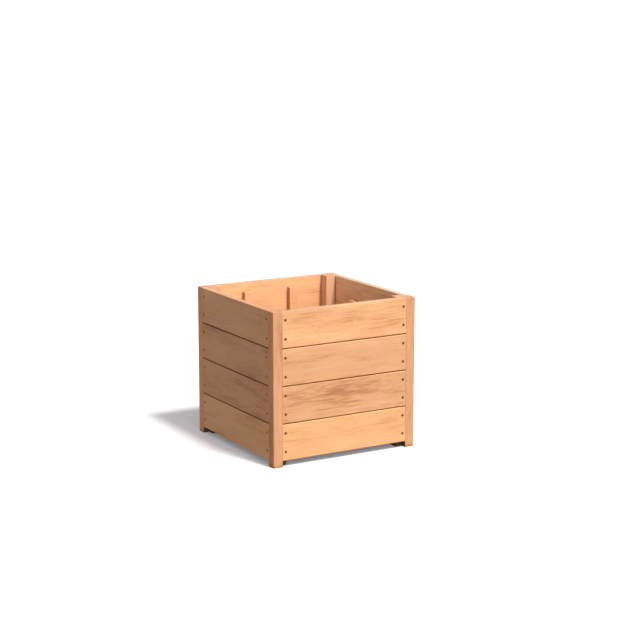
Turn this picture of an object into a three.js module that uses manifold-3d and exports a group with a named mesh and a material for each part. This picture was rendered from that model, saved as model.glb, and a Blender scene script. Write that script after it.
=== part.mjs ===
// A square hardwood planter box: four rebated corner posts, four boards on each side,
// two battens behind the boards of each side, and a slatted floor on four bearers.
// Millimetres. +Z is up and z = 0 is the ground. The origin is the centre of the box at the
// ground, and the front of the box faces -Y.

import * as THREE from 'three';
import { mergeVertices } from 'three/addons/utils/BufferGeometryUtils.js';
import Module from 'manifold-3d';

const wasm = await Module();
wasm.setup();

// Side walls
const BOX_SIDE = 650;            // outside width of the box, the same both ways
const BOARDS_PER_SIDE = 4;
const BOARD_HEIGHT = 145;
const BOARD_THICKNESS = 25;
const BOARD_GAP = 5;             // open gap between one board and the next
const FOOT_HEIGHT = 25;          // the posts stand this far below the lowest board
const END_SEAM = 0.4;            // open joint between the end of a board and its post

// Corner posts
const POST_WIDTH = 70;
const POST_STRIP = 40;           // width of post that shows beside the ends of the boards

// Battens behind the boards
const BATTEN_WIDTH = 38;
const BATTEN_THICKNESS = 20;
const BATTENS_FRONT_REAR = { offset: 108, drop: 38 };     // offset: middle of the side to middle of a batten
const BATTENS_LEFT_RIGHT = { offset: 90, drop: 82 };      // drop: rim to the top of a batten

// Floor
const BEARER_SIZE = 45;
const BEARER_BASE = 30;          // height of the underside of a bearer
const SLAT_COUNT = 5;
const SLAT_WIDTH = 95;
const SLAT_THICKNESS = 20;
const DRAIN_GAP = 8;             // open gap between one slat and the next
const SLAT_SCREW_EDGE = 20;      // from the long edge of a slat to its screws

// Countersunk screw holes
const SHANK_RADIUS = 2.75;
const SINK_RADIUS = 5.8;
const SINK_FLAT = 0.8;           // straight part at the mouth, so that a head lies below the face
const SINK_DEPTH = 4.2;
const HOLE_SIDES = 16;
const SCREW_FROM_CORNER = 54;    // from the outer corner of the box to the centre of a screw
const SCREW_SPACING = 75;        // between the two screws at one end of a board

// Workmanship
const EASE = 1.2;                // chamfer on the long edges of the timber
const END_EASE = 0.5;            // smaller chamfer on sawn ends and on the shoulders that meet them
const FIT_GAP = 0.3;             // clearance between pieces that are screwed face to face
const FLOOR_PLAY = 1;            // clearance at the ends of the bearers and slats

const RIM_HEIGHT = FOOT_HEIGHT + BOARDS_PER_SIDE * BOARD_HEIGHT + (BOARDS_PER_SIDE - 1) * BOARD_GAP;
const HALF_SIDE = BOX_SIDE / 2;
const WALL_INSIDE = HALF_SIDE - BOARD_THICKNESS;
const POST_INSIDE = HALF_SIDE - POST_WIDTH;
const FLOOR_TOP = BEARER_BASE + BEARER_SIZE + FIT_GAP + SLAT_THICKNESS;

const boardWood = new THREE.MeshStandardMaterial({ color: 0xe6a674, roughness: 0.62, metalness: 0 });
const postWood = new THREE.MeshStandardMaterial({ color: 0xdf9d73, roughness: 0.62, metalness: 0 });
const battenWood = new THREE.MeshStandardMaterial({ color: 0xdea26f, roughness: 0.68, metalness: 0 });
const floorWood = new THREE.MeshStandardMaterial({ color: 0xc98f62, roughness: 0.75, metalness: 0 });

// An outline from anticlockwise corners { x, y, ease }. An eased corner is cut back by a chamfer.
function easedShape(corners) {
  const points = [];
  corners.forEach(({ x, y, ease }, i) => {
    const corner = new THREE.Vector2(x, y);
    const before = corners.at(i - 1);
    const after = corners[(i + 1) % corners.length];
    for (const neighbour of ease > 0 ? [before, after] : [corner]) {
      const towards = new THREE.Vector2(neighbour.x, neighbour.y).sub(corner).normalize();
      points.push(corner.clone().addScaledVector(towards, ease));
    }
  });
  return new THREE.Shape(points);
}

// A length of timber of this section, standing on z = 0, with its two ends eased as well.
function timber(corners, length) {
  const geometry = new THREE.ExtrudeGeometry(easedShape(corners), {
    depth: length - 2 * END_EASE,
    bevelEnabled: true,
    bevelThickness: END_EASE,
    bevelSize: END_EASE,
    bevelOffset: -END_EASE,
    bevelSegments: 1,
  });
  return geometry.translate(0, 0, END_EASE);
}

// A straight bar centred on the origin: length along X, thickness along Y, height along Z.
function bar(length, thickness, height) {
  const corners = [
    { x: -height / 2, y: -thickness / 2, ease: EASE },
    { x: height / 2, y: -thickness / 2, ease: EASE },
    { x: height / 2, y: thickness / 2, ease: EASE },
    { x: -height / 2, y: thickness / 2, ease: EASE },
  ];
  return timber(corners, length).translate(0, 0, -length / 2).rotateY(Math.PI / 2);
}

// The space one countersunk screw takes out of wood whose face is y = 0 and which lies at y > 0.
function screwHole(depth) {
  const profile = [
    new THREE.Vector2(0, -1),
    new THREE.Vector2(SINK_RADIUS, -1),
    new THREE.Vector2(SINK_RADIUS, SINK_FLAT),
    new THREE.Vector2(SHANK_RADIUS, SINK_DEPTH),
    new THREE.Vector2(SHANK_RADIUS, depth + 1),
    new THREE.Vector2(0, depth + 1),
  ];
  return new THREE.LatheGeometry(profile, HOLE_SIDES);
}

// three.js geometry to a solid, and back.
function solidOf(geometry) {
  const bare = geometry.clone();
  bare.deleteAttribute('normal');
  bare.deleteAttribute('uv');
  const merged = mergeVertices(bare);
  const vertProperties = Float32Array.from(merged.attributes.position.array);
  const triVerts = Uint32Array.from(merged.index.array);
  return new wasm.Manifold(new wasm.Mesh({ numProp: 3, vertProperties, triVerts }));
}

function geometryOf(solid) {
  const cut = solid.getMesh();
  const geometry = new THREE.BufferGeometry();
  geometry.setAttribute('position', new THREE.BufferAttribute(cut.vertProperties, 3));
  geometry.setIndex(new THREE.BufferAttribute(cut.triVerts, 1));
  geometry.computeVertexNormals();
  return geometry;
}

// Drill a bar from its -Y face, at each of these places (x, z) on that face.
function drilled(barGeometry, thickness, places) {
  const drill = screwHole(thickness);
  let solid = solidOf(barGeometry);
  for (const [x, z] of places) {
    const hole = drill.clone().translate(x, -thickness / 2, z);
    solid = solid.subtract(solidOf(hole));
  }
  return geometryOf(solid);
}

function named(name, geometry, material) {
  const mesh = new THREE.Mesh(geometry, material);
  mesh.name = name;
  return mesh;
}

// The section of a corner post, with its outer corner at the origin and the post at +X, +Y.
// A rebate on each outer face takes the ends of the boards.
function postCorners() {
  const rebate = BOARD_THICKNESS + FIT_GAP;
  return [
    { x: 0, y: 0, ease: EASE },
    { x: POST_STRIP, y: 0, ease: END_EASE },
    { x: POST_STRIP, y: rebate, ease: 0 },
    { x: POST_WIDTH, y: rebate, ease: END_EASE },
    { x: POST_WIDTH, y: POST_WIDTH, ease: EASE },
    { x: rebate, y: POST_WIDTH, ease: END_EASE },
    { x: rebate, y: POST_STRIP, ease: 0 },
    { x: 0, y: POST_STRIP, ease: END_EASE },
  ];
}

const boardLength = BOX_SIDE - 2 * (POST_STRIP + END_SEAM);
const boardScrewX = HALF_SIDE - SCREW_FROM_CORNER;
const boardScrews = [-boardScrewX, boardScrewX].flatMap((x) => [
  [x, -SCREW_SPACING / 2],
  [x, SCREW_SPACING / 2],
]);
const boardGeometry = drilled(bar(boardLength, BOARD_THICKNESS, BOARD_HEIGHT), BOARD_THICKNESS, boardScrews);
const postGeometry = timber(postCorners(), RIM_HEIGHT);
const bearerLength = 2 * (POST_INSIDE - FLOOR_PLAY);
const bearerGeometry = bar(bearerLength, BEARER_SIZE, BEARER_SIZE);

// One side of the box as it faces -Y: its boards, battens and bearer, and the post at its left end.
function buildSide(side, postName, battens) {
  const group = new THREE.Group();

  const post = named(postName, postGeometry, postWood);
  post.position.set(-HALF_SIDE, -HALF_SIDE, 0);
  group.add(post);

  for (let row = 0; row < BOARDS_PER_SIDE; row++) {
    const board = named(`${side}_board_${row + 1}`, boardGeometry, boardWood);
    const base = FOOT_HEIGHT + row * (BOARD_HEIGHT + BOARD_GAP);
    board.position.set(0, -HALF_SIDE + BOARD_THICKNESS / 2, base + BOARD_HEIGHT / 2);
    group.add(board);
  }

  const battenBase = FLOOR_TOP + FIT_GAP;
  const battenTop = RIM_HEIGHT - battens.drop;
  const battenGeometry = bar(BATTEN_WIDTH, BATTEN_THICKNESS, battenTop - battenBase);
  [-battens.offset, battens.offset].forEach((x, i) => {
    const batten = named(`${side}_batten_${i + 1}`, battenGeometry, battenWood);
    const y = -WALL_INSIDE + FIT_GAP + BATTEN_THICKNESS / 2;
    batten.position.set(x, y, (battenBase + battenTop) / 2);
    group.add(batten);
  });

  const bearer = named(`${side}_bearer`, bearerGeometry, floorWood);
  bearer.position.set(0, -WALL_INSIDE + FIT_GAP + BEARER_SIZE / 2, BEARER_BASE + BEARER_SIZE / 2);
  group.add(bearer);
  return group;
}

// The floor: slats from front to rear, screwed down on the front and rear bearers.
function buildFloor() {
  const group = new THREE.Group();
  const length = 2 * (WALL_INSIDE - FLOOR_PLAY);
  const screwX = WALL_INSIDE - BEARER_SIZE / 2;
  const screwZ = SLAT_WIDTH / 2 - SLAT_SCREW_EDGE;
  const places = [-screwX, screwX].flatMap((x) => [[x, -screwZ], [x, screwZ]]);
  const flat = drilled(bar(length, SLAT_THICKNESS, SLAT_WIDTH), SLAT_THICKNESS, places);
  flat.rotateX(-Math.PI / 2);
  flat.rotateZ(Math.PI / 2);

  const pitch = SLAT_WIDTH + DRAIN_GAP;
  for (let i = 0; i < SLAT_COUNT; i++) {
    const slat = named(`floor_slat_${i + 1}`, flat, floorWood);
    slat.position.set((i - (SLAT_COUNT - 1) / 2) * pitch, 0, FLOOR_TOP - SLAT_THICKNESS / 2);
    group.add(slat);
  }
  return group;
}

const SIDES = [
  { side: 'front', post: 'front_left_post', battens: BATTENS_FRONT_REAR },
  { side: 'right', post: 'front_right_post', battens: BATTENS_LEFT_RIGHT },
  { side: 'rear', post: 'rear_right_post', battens: BATTENS_FRONT_REAR },
  { side: 'left', post: 'rear_left_post', battens: BATTENS_LEFT_RIGHT },
];

const group = new THREE.Group();
SIDES.forEach(({ side, post, battens }, quarter) => {
  const wall = buildSide(side, post, battens);
  wall.rotation.z = quarter * Math.PI / 2;
  group.add(wall);
});
group.add(buildFloor());

export default group;
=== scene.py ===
import math
import random
from collections import namedtuple

import bmesh
import bpy
from mathutils import Euler, Matrix, Vector


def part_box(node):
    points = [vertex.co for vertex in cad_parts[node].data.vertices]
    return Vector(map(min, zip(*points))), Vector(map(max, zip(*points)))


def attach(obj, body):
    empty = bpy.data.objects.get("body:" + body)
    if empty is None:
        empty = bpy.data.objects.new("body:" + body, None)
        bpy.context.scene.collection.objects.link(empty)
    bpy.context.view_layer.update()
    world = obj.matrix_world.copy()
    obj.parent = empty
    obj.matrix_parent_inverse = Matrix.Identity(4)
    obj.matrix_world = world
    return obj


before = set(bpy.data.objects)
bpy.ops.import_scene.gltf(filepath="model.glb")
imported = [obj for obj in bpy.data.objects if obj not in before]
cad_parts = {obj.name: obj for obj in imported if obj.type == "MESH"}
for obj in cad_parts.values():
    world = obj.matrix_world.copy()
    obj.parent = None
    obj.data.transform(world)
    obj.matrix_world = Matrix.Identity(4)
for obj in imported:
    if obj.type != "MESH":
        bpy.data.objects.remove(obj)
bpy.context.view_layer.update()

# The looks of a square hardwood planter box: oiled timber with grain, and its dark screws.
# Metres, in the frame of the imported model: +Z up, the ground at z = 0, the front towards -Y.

MM = 0.001

# Camera
CAMERA_PLACE = (-3.342, -5.825, 1.884)
CAMERA_AZIMUTH = math.radians(-30.21)
CAMERA_ELEVATION = math.radians(11.47)
CAMERA_LENS_MM = 95.65
SENSOR_MM = 36
CAMERA_REACH = 100

# Light
TOWARDS_SUN = Vector((0.138, -0.580, 1.0))
SUN_STRENGTH = 3.6
SUN_ANGLE = math.radians(8.5)
SUN_COLOUR = (1.0, 0.985, 0.96)
SKY_COLOUR = (1.0, 0.985, 1.0)
SKY_LEVELS = (      # the sine of a height in the room, and how bright the room is there
    (-1.0, 0.02),
    (-0.3, 0.03),
    (0.0, 0.42),
    (0.35, 0.40),
    (0.6, 0.27),
    (1.0, 0.26),
)
SOFTBOX_DIRECTION = Vector((0.0, -1.0, 0.3))
SOFTBOX_STRENGTH = 1.8
SOFTBOX_FOCUS = 2.0                         # the power of the cosine to the softbox's direction
SOFTBOX_EDGE = (-0.1, 0.1)                  # fades out over these heights, so none comes from below
BACKDROP_COLOUR = (1, 1, 1, 1)

# Floor
FLOOR_RADIUS = 40
FLOOR_SEGMENTS = 96
FLOOR_GREY = 0.68
FLOOR_GLOW = 0.155
FLOOR_GLOW_COLOUR = (0.99, 0.98, 1.02, 1)
FLOOR_ROUGHNESS = 0.9
FLOOR_SPECULAR = 0.1

# Timber
SIDES = ("front", "right", "rear", "left")
BOARD_ROWS = (1, 2, 3, 4)
BATTENS = (1, 2)
POSTS = ("front_left_post", "front_right_post", "rear_right_post", "rear_left_post")
SLATS = (1, 2, 3, 4, 5)
WELD_DISTANCE = 0.01 * MM
EDGE_ROUNDING = 0.35 * MM
ROUNDING_SEGMENTS = 2
ROUNDED_FROM = math.radians(30)             # edges that bend more than this are rounded

# Directions, for each side of the box as it is faced
OUTWARD = {
    "front": Vector((0, -1, 0)),
    "right": Vector((1, 0, 0)),
    "rear": Vector((0, 1, 0)),
    "left": Vector((-1, 0, 0)),
}
ALONG = {
    "front": Vector((1, 0, 0)),
    "right": Vector((0, 1, 0)),
    "rear": Vector((-1, 0, 0)),
    "left": Vector((0, -1, 0)),
}

# Screws and pins
FASTENER_SEED = 64
SCREW_FROM_BOARD_END = 13.6 * MM
SCREW_SPACING = 75 * MM
SCREW_BELOW_FACE = 0.5 * MM
SLAT_SCREW_FROM_END = 21.5 * MM
SLAT_SCREW_FROM_EDGE = 20 * MM
BEARER_SCREW_PLACES = (-0.36, 0, 0.36)      # along a bearer, as shares of its length
PIN_FROM_BATTEN_END = 20 * MM
RING_POINTS = 36
STAR_POINTS = 6
STAR_DEPTH = 0.16                           # of the star drive, as a share of its radius
SHARP_FROM = math.radians(35)               # edges of a screw that bend more than this stay sharp

# The outlines of the fasteners, from the middle of the top down to the tip, in millimetres:
# the radius, the height over the seat or the face, and how deep a star is cut into the ring.
COUNTERSUNK_OUTLINE = (
    (1.25, -2.0, STAR_DEPTH),
    (1.62, -0.25, STAR_DEPTH),
    (1.85, 0.0, STAR_DEPTH),
    (5.05, 0.0, 0),
    (5.40, -0.12, 0),
    (5.50, -0.45, 0),
    (2.45, -3.2, 0),
    (2.35, -18, 0),
    (1.60, -40, 0),
    (0.40, -44, 0),
)
PAN_HEAD_OUTLINE = (
    (1.15, 0.4, STAR_DEPTH),
    (1.50, 2.3, STAR_DEPTH),
    (1.72, 2.5, STAR_DEPTH),
    (2.8, 2.35, 0),
    (3.8, 1.85, 0),
    (4.4, 1.0, 0),
    (4.5, 0.02, 0),
    (2.0, 0.02, 0),
    (1.9, -30, 0),
    (0.4, -34, 0),
)
PIN_OUTLINE = (
    (0.5, 0.72, 0),
    (1.1, 0.62, 0),
    (1.6, 0.36, 0),
    (1.8, 0.02, 0),
    (0.75, 0.02, 0),
    (0.7, -28, 0),
    (0.2, -30, 0),
)


# --- Node trees ---------------------------------------------------------------------------------


def add_node(tree, kind, inputs=None, **settings):
    """A shader node. An input given as a socket is linked, and any other value is set."""
    made = tree.nodes.new(kind)
    for name, value in settings.items():
        setattr(made, name, value)
    for place, value in (inputs or {}).items():
        if isinstance(value, bpy.types.NodeSocket):
            tree.links.new(value, made.inputs[place])
        else:
            made.inputs[place].default_value = value
    return made


def math_node(tree, operation, first, second=0.0, third=0.0):
    made = add_node(tree, "ShaderNodeMath", {0: first, 1: second, 2: third}, operation=operation)
    return made.outputs[0]


def vector_node(tree, operation, first, second):
    made = add_node(tree, "ShaderNodeVectorMath", {0: first, 1: second}, operation=operation)
    return made.outputs["Value" if operation == "DOT_PRODUCT" else "Vector"]


def split_node(tree, vector, axis):
    """One coordinate of a vector."""
    return add_node(tree, "ShaderNodeSeparateXYZ", {0: vector}).outputs[axis]


def stretched_noise(tree, vector, frequencies, detail=3.0, roughness=0.55, distortion=0.0):
    """3-D noise with its own number of waves per metre along each axis."""
    noise = add_node(
        tree,
        "ShaderNodeTexNoise",
        {
            "Vector": vector_node(tree, "MULTIPLY", vector, frequencies),
            "Scale": 1.0,
            "Detail": detail,
            "Roughness": roughness,
            "Distortion": distortion,
        },
    )
    return noise.outputs["Fac"]


def spread(tree, value, low, high, to_low=0.0, to_high=1.0, smooth=True):
    """value, mapped from low..high to to_low..to_high and held inside them."""
    made = add_node(
        tree,
        "ShaderNodeMapRange",
        {"Value": value, "From Min": low, "From Max": high, "To Min": to_low, "To Max": to_high},
        interpolation_type="SMOOTHSTEP" if smooth else "LINEAR",
        clamp=True,
    )
    return made.outputs["Result"]


def mix_colour(tree, share, first, second, blend="MIX"):
    made = add_node(
        tree,
        "ShaderNodeMix",
        {"Factor": share, "A": first, "B": second},
        data_type="RGBA",
        blend_type=blend,
    )
    return made.outputs["Result"]


def shaded(tree, colour, value, saturation=1.0):
    """colour, made darker or paler by value."""
    made = add_node(
        tree,
        "ShaderNodeHueSaturation",
        {"Saturation": saturation, "Value": value, "Color": colour},
    )
    return made.outputs["Color"]


def colour_ramp(tree, level, stops, interpolation="LINEAR"):
    """Colours at these places of level, which runs from 0 to 1."""
    made = add_node(tree, "ShaderNodeValToRGB", {"Fac": level})
    ramp = made.color_ramp
    ramp.interpolation = interpolation
    while len(ramp.elements) < len(stops):
        ramp.elements.new(1.0)
    for element, (position, colour) in zip(ramp.elements, stops):
        element.position = position
        element.color = (*colour, 1)
    return made.outputs["Color"]


def principled(name):
    """A new material and its tree, with its Principled shader."""
    material = bpy.data.materials.new(name)
    material.use_nodes = True
    return material, material.node_tree, material.node_tree.nodes["Principled BSDF"]


# --- Wood ---------------------------------------------------------------------------------------

# Colours are linear. A tone's figure is how strongly its feathered darker figure shows.
Tone = namedtuple("Tone", "light mid dark figure")
TONES = {
    "honey": Tone((0.800, 0.455, 0.232), (0.724, 0.379, 0.180), (0.55, 0.240, 0.098), 0.25),
    "rose": Tone((0.715, 0.382, 0.199), (0.650, 0.332, 0.163), (0.52, 0.235, 0.105), 0.12),
    "cloudy": Tone((0.705, 0.388, 0.202), (0.640, 0.328, 0.157), (0.42, 0.176, 0.074), 0.62),
    "dusky": Tone((0.690, 0.360, 0.180), (0.635, 0.312, 0.144), (0.45, 0.190, 0.080), 0.36),
    "plain": Tone((0.790, 0.430, 0.205), (0.728, 0.377, 0.170), (0.58, 0.270, 0.108), 0.08),
    "muted": Tone((0.740, 0.396, 0.197), (0.684, 0.347, 0.164), (0.54, 0.245, 0.100), 0.22),
    "fair": Tone((0.800, 0.515, 0.290), (0.742, 0.455, 0.238), (0.61, 0.33, 0.150), 0.10),
    "post": Tone((0.670, 0.345, 0.182), (0.605, 0.300, 0.149), (0.47, 0.215, 0.100), 0.15),
    "batten": Tone((0.760, 0.405, 0.190), (0.728, 0.377, 0.170), (0.65, 0.325, 0.140), 0.0),
    "sawn": Tone((0.52, 0.28, 0.140), (0.42, 0.205, 0.096), (0.27, 0.120, 0.052), 0.45),
}
DARK_AT = 0.22                      # the levels at which a wood is darkest, middling and lightest
MID_AT = 0.50
LIGHT_AT = 0.80

# The boards from the lowest up: the tone of each, and the seed that picks its log.
BOARD_WOOD = {
    "front": (("plain", 729), ("cloudy", 709), ("rose", 731), ("honey", 753)),
    "right": (("rose", 5), ("plain", 6), ("honey", 7), ("fair", 8)),
    "rear": (("honey", 9), ("rose", 10), ("plain", 11), ("plain", 12)),
    "left": (("plain", 13), ("dusky", 14), ("dusky", 15), ("muted", 16)),
}
FIRST_OTHER_SEED = 17

# The log. Each piece is cut from a spot of its own, up to LOG_SPREAD metres away. The pith runs
# beside the piece, these metres aside and away from it, and the growth rings wander a little.
LOG_SPREAD = 20
PITH_ASIDE = 0.5
PITH_AWAY = (0.38, 0.62)
PITH_SLANT = 0.05
RING_WANDER = 0.055
RINGS_PER_METRE = (75, 105)

# Waves per metre of each layer of the wood: along the grain, and across it both ways.
WANDER_WAVES = (2.2, 11, 11)
CLOUD_WAVES = (3.5, 15, 15)
STREAK_WAVES = (12, 80, 80)
LINE_WAVES = (7, 210, 210)
FIBRE_WAVES = (28, 420, 420)
PORE_WAVES = (95, 1500, 1500)
FEATHER_WAVES = (16, 85, 85)
BAND_WAVES = (1.6, 13, 13)
BLUSH_WAVES = (5, 14, 14)
PATCH_WAVES = (45, 45, 45)

# How far each layer swings the level of the wood between dark and light
CLOUD_SWING = 0.95
STREAK_SWING = 0.34
LINE_SWING = 0.46
FIBRE_SWING = 0.42
RING_SWING = 0.05

# Marks. A pair is the values of a layer between which the mark fades in.
PORE_RANGE = (0.60, 0.70)
PORE_SHADE = -0.22
FEATHER_RANGE = (0.43, 0.68)
BAND_RANGE = (0.40, 0.60)
BLUSH_RANGE = (0.36, 0.64)
YELLOW_CAST = (0.995, 1.012, 0.975, 1)
PINK_CAST = (1.005, 0.982, 1.02, 1)

# Sawn ends
END_FACING = (0.75, 0.95)           # the cosine between a face and the grain
END_RING_SHADE = 0.12
END_PORE_SHADE = -0.15
END_SHADE = 0.94
END_CAST = (1.0, 1.0, 1.06, 1)

# Inner faces are painted paler: painted light inside the box. A face's outlook says how far it
# looks out of the box: the dot product of its normal and its place, measured from the middle of
# the ground. It is about 0.325 for the outer faces, and less than 0 for the inner ones.
INNER_LIGHT_OUTLOOK = (-0.09, -0.20)
INNER_LIGHT_CAST = {"post": (1.12, 1.27, 1.52, 1)}
USUAL_INNER_LIGHT_CAST = (1.07, 1.09, 1.20, 1)

# The sides of the battens are made darker: painted shade.
SIDE_SHADE_OUTLOOK = (0.22, 0.18)
SIDE_SHADE_CAST = {"batten": (0.80, 0.76, 0.66, 1)}

# The long edges of the boards: painted light in the gaps of the front, and a painted sheen, paler and
# bluer, along the rim
LEVEL_FACING = (0.6, 0.8)
RIM_HEIGHTS = (0.60, 0.61)
NO_CAST = (1, 1, 1, 1)
GAP_LIGHT_CAST = {"front": (1.22, 1.36, 1.15, 1)}
RIM_SHEEN_CAST = (0.85, 0.92, 1.08, 1)

# The outer flanks of the posts are cut across the rings, and are redder.
FLANK_FACING = (0.6, 0.8)
FLANK_OUTLOOK = (0.31, 0.32)
FLANK_CAST = {"post": (1.12, 0.99, 0.80, 1)}

# Painted shade in the corners, gaps and holes, found by ambient occlusion
CORNER_SHADE_REACH = 14 * MM
CORNER_SHADE_SAMPLES = 8
CORNER_SHADE_RANGE = (0.95, 0.45)           # shares of open air: no painted shade at the first, full at the second
CORNER_SHADE_CAST = (0.37, 0.24, 0.13, 1)
# How strongly the painted shade shows on each side of the box
CORNER_SHADE_BY_SIDE = {"front": 0.12, "left": 0.50}
BATTEN_CORNER_SHADE = 0.25
USUAL_CORNER_SHADE = 0.55

# Rubbed edges
WEAR_RADIUS = 2.0 * MM
WEAR_SAMPLES = 4
WEAR_BEND = (0.985, 0.86)           # the cosine of an edge's bend, from no wear to full wear
WEAR_PATCHES = (0.35, 0.7)
WEAR_STRENGTH = 0.35
WORN_SATURATION = 0.86
WORN_SHADE = 1.16

# Feet
DAMP_HEIGHTS = (22 * MM, 0.0)
DAMP_PATCHES = (0.2, 0.75, 0.3, 1)  # patches from the first to the second hold this share of it
DAMP_SHADE = -0.30
SHELTERED_OUTLOOK = (318 * MM, 308 * MM)        # set back from the outer faces
# Painted shade: behind the faces of the lowest boards the feet are painted nearly black.
RECESS_SHADE_HEIGHTS = (31 * MM, 24 * MM)
RECESS_SHADE = -0.80

# Finish
ROUGHNESS = 0.50
STREAK_ROUGHNESS = 0.16
PORE_ROUGHNESS = 0.18
END_ROUGHNESS = 0.14
FIBRE_RELIEF = 0.55
STREAK_RELIEF = 0.4
PORE_RELIEF = -0.8
RELIEF_STRENGTH = 0.55
RELIEF_DEPTH = 0.22 * MM
WOOD_SPECULAR = 0.32
WOOD_IOR = 1.46

# Turns a point so that the grain, which lies along this axis of the frame, lies along X.
GRAIN_TURN = {"X": (0, 0, 0), "Y": (0, 0, -math.pi / 2), "Z": (0, math.pi / 2, 0)}
GRAIN_VECTOR = {"X": (1, 0, 0), "Y": (0, 1, 0), "Z": (0, 0, 1)}


def growth_rings(tree, place, turned, grain, chance):
    """Rings round a pith that runs beside the piece at a slight slant, so they meet its faces in
    long lines."""
    untwisted = add_node(tree, "ShaderNodeMapping", {"Vector": place, "Rotation": GRAIN_TURN[grain]})
    aside = chance.uniform(-PITH_ASIDE, PITH_ASIDE)
    away = chance.choice((-1, 1)) * chance.uniform(*PITH_AWAY)
    slant = (0, chance.uniform(-PITH_SLANT, PITH_SLANT), chance.uniform(-PITH_SLANT, PITH_SLANT))
    from_pith = add_node(
        tree,
        "ShaderNodeMapping",
        {"Vector": untwisted.outputs[0], "Location": (0, aside, away), "Rotation": slant},
    )
    flat = vector_node(tree, "MULTIPLY", from_pith.outputs[0], (0, 1, 1))
    length = add_node(tree, "ShaderNodeVectorMath", {0: flat}, operation="LENGTH")
    wander = stretched_noise(tree, turned, WANDER_WAVES, detail=2)
    distance = math_node(tree, "MULTIPLY_ADD", wander, RING_WANDER, length.outputs["Value"])
    phase = math_node(tree, "MULTIPLY", distance, 2 * math.pi * chance.uniform(*RINGS_PER_METRE))
    return math_node(tree, "MULTIPLY_ADD", math_node(tree, "SINE", phase), 0.5, 0.5)


def grain_layers(tree, turned):
    """The layers of the wood, from its broadest clouds to its pores."""
    pores = stretched_noise(tree, turned, PORE_WAVES, detail=2)
    return {
        "clouds": stretched_noise(tree, turned, CLOUD_WAVES, detail=2, roughness=0.5),
        "streaks": stretched_noise(tree, turned, STREAK_WAVES, detail=2, roughness=0.5),
        "lines": stretched_noise(tree, turned, LINE_WAVES, detail=2, roughness=0.5),
        "fibres": stretched_noise(tree, turned, FIBRE_WAVES, detail=4, roughness=0.65),
        "pores": spread(tree, pores, *PORE_RANGE),
    }


def body_colour(tree, tone, turned, layers, rings):
    """The colour of fresh planed wood."""
    colours = TONES[tone]
    level = 0.5
    for layer, swing in (
        (layers["clouds"], CLOUD_SWING),
        (layers["streaks"], STREAK_SWING),
        (layers["lines"], LINE_SWING),
        (layers["fibres"], FIBRE_SWING),
        (rings, RING_SWING),
    ):
        level = math_node(tree, "ADD", math_node(tree, "MULTIPLY_ADD", layer, swing, -swing / 2), level)
    stops = ((DARK_AT, colours.dark), (MID_AT, colours.mid), (LIGHT_AT, colours.light))
    colour = colour_ramp(tree, level, stops, "EASE")

    # Feathered darker figure, which some boards have much of
    feather = stretched_noise(tree, turned, FEATHER_WAVES, detail=4, roughness=0.68, distortion=0.3)
    band = stretched_noise(tree, turned, BAND_WAVES, detail=1)
    figure = math_node(
        tree,
        "MULTIPLY",
        spread(tree, feather, *FEATHER_RANGE),
        spread(tree, band, *BAND_RANGE),
    )
    figure = math_node(tree, "MULTIPLY", figure, colours.figure)
    colour = mix_colour(tree, figure, colour, (*colours.dark, 1))

    # Broad patches lean to pink or to yellow.
    blush = spread(tree, stretched_noise(tree, turned, BLUSH_WAVES, detail=2), *BLUSH_RANGE)
    cast = mix_colour(tree, blush, YELLOW_CAST, PINK_CAST)
    return mix_colour(tree, 1.0, colour, cast, "MULTIPLY")


def sawn_end_colour(tree, colour, rings, pores):
    """The colour of an end of the piece, which shows the growth rings."""
    shade = math_node(tree, "MULTIPLY_ADD", rings, END_RING_SHADE, END_SHADE)
    shade = math_node(tree, "MULTIPLY_ADD", pores, END_PORE_SHADE, shade)
    return shaded(tree, mix_colour(tree, 1.0, colour, END_CAST, "MULTIPLY"), shade)


def face_casts(tree, colour, tone, grain, normal, height, outlook, gap_light_cast):
    """Tints the faces of a piece by the way they face: painted light on the inner faces and in the
    front gaps, painted shade on the batten sides, a painted sheen on the rim, and redder post flanks.
    """
    # Painted light: the inner faces are made paler.
    inner_light = spread(tree, outlook, *INNER_LIGHT_OUTLOOK)
    colour = mix_colour(tree, inner_light, colour, INNER_LIGHT_CAST.get(tone, USUAL_INNER_LIGHT_CAST), "MULTIPLY")
    if tone in SIDE_SHADE_CAST:
        # Painted shade: the sides of the battens are made darker.
        side_shade = spread(tree, math_node(tree, "ABSOLUTE", outlook), *SIDE_SHADE_OUTLOOK)
        colour = mix_colour(tree, side_shade, colour, SIDE_SHADE_CAST[tone], "MULTIPLY")
    if grain != "Z":
        # Painted light in the front gaps and a painted sheen along the rim, on the level faces
        upward = math_node(tree, "ABSOLUTE", split_node(tree, normal, "Z"))
        gap_light_and_rim_sheen = mix_colour(tree, spread(tree, height, *RIM_HEIGHTS), gap_light_cast, RIM_SHEEN_CAST)
        colour = mix_colour(tree, spread(tree, upward, *LEVEL_FACING), colour, gap_light_and_rim_sheen, "MULTIPLY")
    if tone in FLANK_CAST:
        across = math_node(tree, "ABSOLUTE", split_node(tree, normal, "X"))
        flank = math_node(
            tree,
            "MULTIPLY",
            spread(tree, across, *FLANK_FACING),
            spread(tree, outlook, *FLANK_OUTLOOK),
        )
        colour = mix_colour(tree, flank, colour, FLANK_CAST[tone], "MULTIPLY")
    return colour


def worn_edges(tree, colour, normal, patches):
    """Edges are handled and rubbed, so they are a little paler and drier, in patches."""
    rounded = add_node(tree, "ShaderNodeBevel", {"Radius": WEAR_RADIUS}, samples=WEAR_SAMPLES)
    bend = vector_node(tree, "DOT_PRODUCT", rounded.outputs["Normal"], normal)
    wear = math_node(
        tree,
        "MULTIPLY",
        spread(tree, bend, *WEAR_BEND),
        spread(tree, patches, *WEAR_PATCHES),
    )
    wear = math_node(tree, "MULTIPLY", wear, WEAR_STRENGTH)
    return mix_colour(tree, wear, colour, shaded(tree, colour, WORN_SHADE, WORN_SATURATION))


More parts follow.
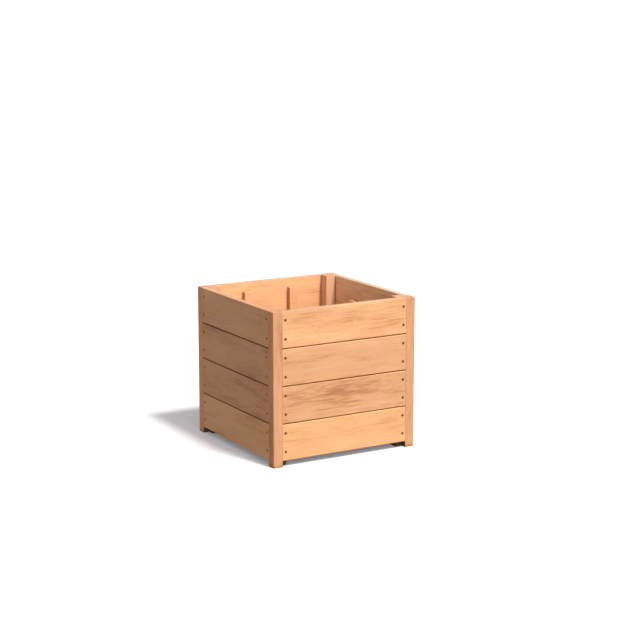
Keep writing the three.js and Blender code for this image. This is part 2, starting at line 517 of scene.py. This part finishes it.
def damp_feet_and_recess_shade(tree, colour, height, outlook, patches):
    """Feet stand in the wet and darken towards the ground. Behind the faces of the lowest boards
    they are painted nearly black: painted shade under the boards."""
    damp = math_node(
        tree,
        "MULTIPLY",
        spread(tree, height, *DAMP_HEIGHTS),
        spread(tree, patches, *DAMP_PATCHES),
    )
    # Painted shade under the lowest boards
    recess_shade = math_node(
        tree,
        "MULTIPLY",
        spread(tree, outlook, *SHELTERED_OUTLOOK),
        spread(tree, height, *RECESS_SHADE_HEIGHTS),
    )
    shade = math_node(
        tree,
        "MULTIPLY",
        math_node(tree, "MULTIPLY_ADD", damp, DAMP_SHADE, 1.0),
        math_node(tree, "MULTIPLY_ADD", recess_shade, RECESS_SHADE, 1.0),
    )
    return shaded(tree, colour, shade)


def wood(name, tone, grain, seed, grime_and_shade=USUAL_CORNER_SHADE, gap_light_cast=NO_CAST):
    """Oiled hardwood cut from a log of its own: seed places the board in the wood."""
    chance = random.Random(seed)
    material, tree, shader = principled(name)
    place = add_node(tree, "ShaderNodeTexCoord").outputs["Object"]
    spot = tuple(chance.uniform(-LOG_SPREAD, LOG_SPREAD) for _ in range(3))
    turned = add_node(
        tree,
        "ShaderNodeMapping",
        {"Vector": place, "Rotation": GRAIN_TURN[grain], "Location": spot},
    ).outputs[0]
    rings = growth_rings(tree, place, turned, grain, chance)
    layers = grain_layers(tree, turned)
    pores = layers["pores"]
    normal = add_node(tree, "ShaderNodeNewGeometry").outputs["True Normal"]
    height = split_node(tree, place, "Z")
    outlook = vector_node(tree, "DOT_PRODUCT", normal, place)
    patches = stretched_noise(tree, place, PATCH_WAVES, detail=3)

    colour = body_colour(tree, tone, turned, layers, rings)
    facing = math_node(tree, "ABSOLUTE", vector_node(tree, "DOT_PRODUCT", normal, GRAIN_VECTOR[grain]))
    end_grain = spread(tree, facing, *END_FACING)
    colour = mix_colour(tree, end_grain, colour, sawn_end_colour(tree, colour, rings, pores))
    colour = face_casts(tree, colour, tone, grain, normal, height, outlook, gap_light_cast)

    # Painted shade: the corners, gaps and holes darken where ambient occlusion finds little open air.
    shelter = add_node(
        tree, "ShaderNodeAmbientOcclusion", {"Distance": CORNER_SHADE_REACH}, samples=CORNER_SHADE_SAMPLES
    ).outputs["AO"]
    corner_shade = math_node(tree, "MULTIPLY", spread(tree, shelter, *CORNER_SHADE_RANGE), grime_and_shade)
    colour = mix_colour(tree, corner_shade, colour, CORNER_SHADE_CAST, "MULTIPLY")

    # Pores are short dark dashes along the grain.
    colour = shaded(tree, colour, math_node(tree, "MULTIPLY_ADD", pores, PORE_SHADE, 1.0))
    colour = worn_edges(tree, colour, normal, patches)
    colour = damp_feet_and_recess_shade(tree, colour, height, outlook, patches)

    rough = math_node(tree, "MULTIPLY_ADD", layers["streaks"], STREAK_ROUGHNESS, ROUGHNESS)
    rough = math_node(tree, "MULTIPLY_ADD", pores, PORE_ROUGHNESS, rough)
    rough = math_node(tree, "MULTIPLY_ADD", end_grain, END_ROUGHNESS, rough)

    relief = math_node(tree, "MULTIPLY", pores, PORE_RELIEF)
    relief = math_node(tree, "MULTIPLY_ADD", layers["fibres"], FIBRE_RELIEF, relief)
    relief = math_node(tree, "MULTIPLY_ADD", layers["streaks"], STREAK_RELIEF, relief)
    bump = add_node(
        tree,
        "ShaderNodeBump",
        {"Strength": RELIEF_STRENGTH, "Distance": RELIEF_DEPTH, "Height": relief},
    )

    tree.links.new(colour, shader.inputs["Base Color"])
    tree.links.new(rough, shader.inputs["Roughness"])
    tree.links.new(bump.outputs["Normal"], shader.inputs["Normal"])
    shader.inputs["Specular IOR Level"].default_value = WOOD_SPECULAR
    shader.inputs["IOR"].default_value = WOOD_IOR
    return material


def dress(node, material):
    """Gives a CAD node its material, and rounds its edges a little."""
    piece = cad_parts[node]
    piece.data.materials.clear()
    piece.data.materials.append(material)
    weld = piece.modifiers.new("weld", "WELD")
    weld.merge_threshold = WELD_DISTANCE
    rounding = piece.modifiers.new("rounding", "BEVEL")
    rounding.width = EDGE_ROUNDING
    rounding.segments = ROUNDING_SEGMENTS
    rounding.limit_method = "ANGLE"
    rounding.angle_limit = ROUNDED_FROM
    for polygon in piece.data.polygons:
        polygon.use_smooth = False


def grain_axis(node):
    """The frame axis along which a piece of timber is longest."""
    low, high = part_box(node)
    lengths = high - low
    return "XYZ"[max(range(3), key=lambda i: lengths[i])]


def dress_boards():
    for side in SIDES:
        grime_and_shade = CORNER_SHADE_BY_SIDE.get(side, USUAL_CORNER_SHADE)
        gap_light_cast = GAP_LIGHT_CAST.get(side, NO_CAST)
        for row, (tone, seed) in zip(BOARD_ROWS, BOARD_WOOD[side]):
            node = f"{side}_board_{row}"
            dress(node, wood(f"wood_{node}", tone, grain_axis(node), seed, grime_and_shade, gap_light_cast))


def dress_other_timber():
    others = [(node, "post") for node in POSTS]
    for side in SIDES:
        others += [(f"{side}_batten_{number}", "batten") for number in BATTENS]
        others += [(f"{side}_bearer", "sawn")]
    others += [(f"floor_slat_{number}", "sawn") for number in SLATS]
    for seed, (node, tone) in enumerate(others, start=FIRST_OTHER_SEED):
        grime_and_shade = BATTEN_CORNER_SHADE if tone == "batten" else USUAL_CORNER_SHADE
        dress(node, wood(f"wood_{node}", tone, grain_axis(node), seed, grime_and_shade))


# --- Screws and pins ----------------------------------------------------------------------------

STEEL_BLOTCH_WAVES = (420, 420, 420)
STEEL_GRIME_WAVES = (2200, 2200, 2200)
STEEL_STOPS = ((0.35, (0.095, 0.034, 0.008)), (0.70, (0.225, 0.080, 0.022)))
STEEL_ROUGHNESS = 0.38
STEEL_GRIME_ROUGHNESS = 0.3
STEEL_RELIEF_STRENGTH = 0.3
STEEL_RELIEF_DEPTH = 0.05 * MM
STEEL_METALLIC = 0.35
STEEL_SPECULAR = 0.3


def dull_steel():
    """Dark, weathered steel with brown blotches and a fine grime."""
    material, tree, shader = principled("dull_steel")
    place = add_node(tree, "ShaderNodeTexCoord").outputs["Object"]
    blotches = stretched_noise(tree, place, STEEL_BLOTCH_WAVES, detail=4)
    grime_and_shade = stretched_noise(tree, place, STEEL_GRIME_WAVES, detail=2)
    rough = math_node(tree, "MULTIPLY_ADD", grime_and_shade, STEEL_GRIME_ROUGHNESS, STEEL_ROUGHNESS)
    bump = add_node(
        tree,
        "ShaderNodeBump",
        {"Strength": STEEL_RELIEF_STRENGTH, "Distance": STEEL_RELIEF_DEPTH, "Height": grime_and_shade},
    )
    tree.links.new(colour_ramp(tree, blotches, STEEL_STOPS), shader.inputs["Base Color"])
    tree.links.new(rough, shader.inputs["Roughness"])
    tree.links.new(bump.outputs["Normal"], shader.inputs["Normal"])
    shader.inputs["Metallic"].default_value = STEEL_METALLIC
    shader.inputs["Specular IOR Level"].default_value = STEEL_SPECULAR
    return material


def lofted(name, outline, material):
    """A closed mesh through the rings of an outline, from the middle of its top to its tip."""
    rings = [(radius * MM, height * MM, star) for radius, height, star in outline]
    body = bmesh.new()
    previous = None
    first = body.verts.new((0, 0, rings[0][1]))
    for radius, height, star in rings:
        current = []
        for i in range(RING_POINTS):
            angle = 2 * math.pi * i / RING_POINTS
            reach = radius * (1 + star * math.cos(STAR_POINTS * angle))
            current.append(body.verts.new((reach * math.cos(angle), reach * math.sin(angle), height)))
        for i in range(RING_POINTS):
            after = (i + 1) % RING_POINTS
            if previous is None:
                body.faces.new((first, current[i], current[after]))
            else:
                body.faces.new((previous[i], current[i], current[after], previous[after]))
        previous = current
    tip_radius, tip_height, _ = rings[-1]
    last = body.verts.new((0, 0, tip_height - tip_radius))
    for i in range(RING_POINTS):
        body.faces.new((previous[i], last, previous[(i + 1) % RING_POINTS]))
    bmesh.ops.recalc_face_normals(body, faces=body.faces)
    mesh = bpy.data.meshes.new(name)
    body.to_mesh(mesh)
    body.free()
    for polygon in mesh.polygons:
        polygon.use_smooth = True
    mesh.set_sharp_from_angle(angle=SHARP_FROM)
    mesh.materials.append(material)
    return mesh


def fasten(name, mesh, point, outward, chance):
    """Sets a screw or pin at point, facing outward, turned by chance."""
    piece = bpy.data.objects.new(name, mesh)
    bpy.context.scene.collection.objects.link(piece)
    facing = Vector(outward).to_track_quat("Z", "Y").to_matrix().to_4x4()
    turn = Matrix.Rotation(chance.uniform(0, 2 * math.pi), 4, "Z")
    piece.matrix_world = Matrix.Translation(point) @ facing @ turn
    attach(piece, "root")


def face_point(node, outward):
    """The centre of the face of a node's box that faces outward."""
    low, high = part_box(node)
    half = (high - low) / 2
    reach = sum(abs(outward[i]) * half[i] for i in range(3))
    return (low + high) / 2 + outward * reach


def half_length(node, along):
    low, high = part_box(node)
    return sum(abs(along[i]) * (high - low)[i] for i in range(3)) / 2


def set_board_screws(mesh, chance):
    for side in SIDES:
        outward = OUTWARD[side]
        along = ALONG[side]
        for row in BOARD_ROWS:
            node = f"{side}_board_{row}"
            centre = face_point(node, outward) - outward * SCREW_BELOW_FACE
            reach = half_length(node, along) - SCREW_FROM_BOARD_END
            for end, way in (("a", -1), ("b", 1)):
                for level, rise in (("low", -SCREW_SPACING / 2), ("high", SCREW_SPACING / 2)):
                    point = centre + along * way * reach + Vector((0, 0, rise))
                    fasten(f"{side}_screw_{row}_{end}_{level}", mesh, point, outward, chance)


def set_slat_screws(mesh, chance):
    up = Vector((0, 0, 1))
    along = Vector((0, 1, 0))
    across = Vector((1, 0, 0))
    for number in SLATS:
        node = f"floor_slat_{number}"
        centre = face_point(node, up) - up * SCREW_BELOW_FACE
        reach = half_length(node, along) - SLAT_SCREW_FROM_END
        apart = half_length(node, across) - SLAT_SCREW_FROM_EDGE
        corners = [(way, side) for way in (-1, 1) for side in (-1, 1)]
        for count, (way, side) in enumerate(corners, start=1):
            point = centre + along * way * reach + across * side * apart
            fasten(f"slat_screw_{number}_{count}", mesh, point, up, chance)


def set_bearer_screws(mesh, chance):
    for side in SIDES:
        inward = -OUTWARD[side]
        along = ALONG[side]
        node = f"{side}_bearer"
        centre = face_point(node, inward)
        for count, share in enumerate(BEARER_SCREW_PLACES, start=1):
            point = centre + along * share * 2 * half_length(node, along)
            fasten(f"{side}_bearer_screw_{count}", mesh, point, inward, chance)


def set_batten_pins(mesh, chance):
    """Two pins through each batten into each board behind it, where the batten reaches."""
    for side in SIDES:
        inward = -OUTWARD[side]
        for number in BATTENS:
            node = f"{side}_batten_{number}"
            low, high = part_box(node)
            centre = face_point(node, inward)
            count = 0
            for row in BOARD_ROWS:
                board_low, board_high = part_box(f"{side}_board_{row}")
                middle = (board_low.z + board_high.z) / 2
                for height in (middle - SCREW_SPACING / 2, middle + SCREW_SPACING / 2):
                    if low.z + PIN_FROM_BATTEN_END < height < high.z - PIN_FROM_BATTEN_END:
                        count += 1
                        point = Vector((centre.x, centre.y, height))
                        fasten(f"{node}_pin_{count}", mesh, point, inward, chance)


def set_fasteners():
    chance = random.Random(FASTENER_SEED)
    steel = dull_steel()
    countersunk = lofted("countersunk_screw", COUNTERSUNK_OUTLINE, steel)
    set_board_screws(countersunk, chance)
    set_slat_screws(countersunk, chance)
    set_bearer_screws(lofted("pan_head_screw", PAN_HEAD_OUTLINE, steel), chance)
    set_batten_pins(lofted("panel_pin", PIN_OUTLINE, steel), chance)


# --- Studio -------------------------------------------------------------------------------------


def set_camera():
    data = bpy.data.cameras.new("camera")
    data.lens = CAMERA_LENS_MM
    data.sensor_width = SENSOR_MM
    data.clip_end = CAMERA_REACH
    camera = bpy.data.objects.new("camera", data)
    camera.location = CAMERA_PLACE
    camera.rotation_euler = Euler((math.pi / 2 - CAMERA_ELEVATION, 0, CAMERA_AZIMUTH))
    bpy.context.scene.collection.objects.link(camera)
    bpy.context.scene.camera = camera


def set_floor():
    body = bmesh.new()
    bmesh.ops.create_circle(body, cap_ends=True, segments=FLOOR_SEGMENTS, radius=FLOOR_RADIUS)
    mesh = bpy.data.meshes.new("floor")
    body.to_mesh(mesh)
    body.free()
    material, _, shader = principled("pale_floor")
    shader.inputs["Base Color"].default_value = (FLOOR_GREY, FLOOR_GREY, FLOOR_GREY, 1)
    shader.inputs["Roughness"].default_value = FLOOR_ROUGHNESS
    shader.inputs["Specular IOR Level"].default_value = FLOOR_SPECULAR
    shader.inputs["Emission Color"].default_value = FLOOR_GLOW_COLOUR
    shader.inputs["Emission Strength"].default_value = FLOOR_GLOW
    mesh.materials.append(material)
    floor = bpy.data.objects.new("floor", mesh)
    floor.visible_diffuse = False
    bpy.context.scene.collection.objects.link(floor)


def set_sun():
    data = bpy.data.lights.new("sun", "SUN")
    data.energy = SUN_STRENGTH
    data.angle = SUN_ANGLE
    data.color = SUN_COLOUR
    sun = bpy.data.objects.new("sun", data)
    sun.rotation_euler = TOWARDS_SUN.to_track_quat("Z", "Y").to_euler()
    bpy.context.scene.collection.objects.link(sun)


def set_room():
    """The room's light: dim below, brighter above, with a wide softbox in front. The camera sees
    a white backdrop instead."""
    world = bpy.data.worlds.new("studio")
    world.use_nodes = True
    tree = world.node_tree
    direction = add_node(tree, "ShaderNodeTexCoord").outputs["Generated"]
    rise = split_node(tree, direction, "Z")
    room = SKY_LEVELS[0][1]
    for (low, low_light), (high, high_light) in zip(SKY_LEVELS, SKY_LEVELS[1:]):
        step = spread(tree, rise, low, high, 0.0, high_light - low_light, smooth=False)
        room = math_node(tree, "ADD", step, room)
    ahead = vector_node(tree, "DOT_PRODUCT", direction, SOFTBOX_DIRECTION.normalized())
    softbox = math_node(tree, "POWER", math_node(tree, "MAXIMUM", ahead, 0.0), SOFTBOX_FOCUS)
    softbox = math_node(tree, "MULTIPLY", softbox, spread(tree, rise, *SOFTBOX_EDGE))
    room = math_node(tree, "MULTIPLY_ADD", softbox, SOFTBOX_STRENGTH, room)
    tint = add_node(tree, "ShaderNodeVectorMath", {0: SKY_COLOUR, "Scale": room}, operation="SCALE")
    seen = add_node(tree, "ShaderNodeLightPath").outputs["Is Camera Ray"]
    backdrop = mix_colour(tree, seen, tint.outputs[0], BACKDROP_COLOUR)
    tree.links.new(backdrop, tree.nodes["Background"].inputs["Color"])
    bpy.context.scene.world = world
    bpy.context.scene.view_settings.view_transform = "Standard"


set_camera()
set_sun()
set_room()
set_floor()
dress_boards()
dress_other_timber()
set_fasteners()
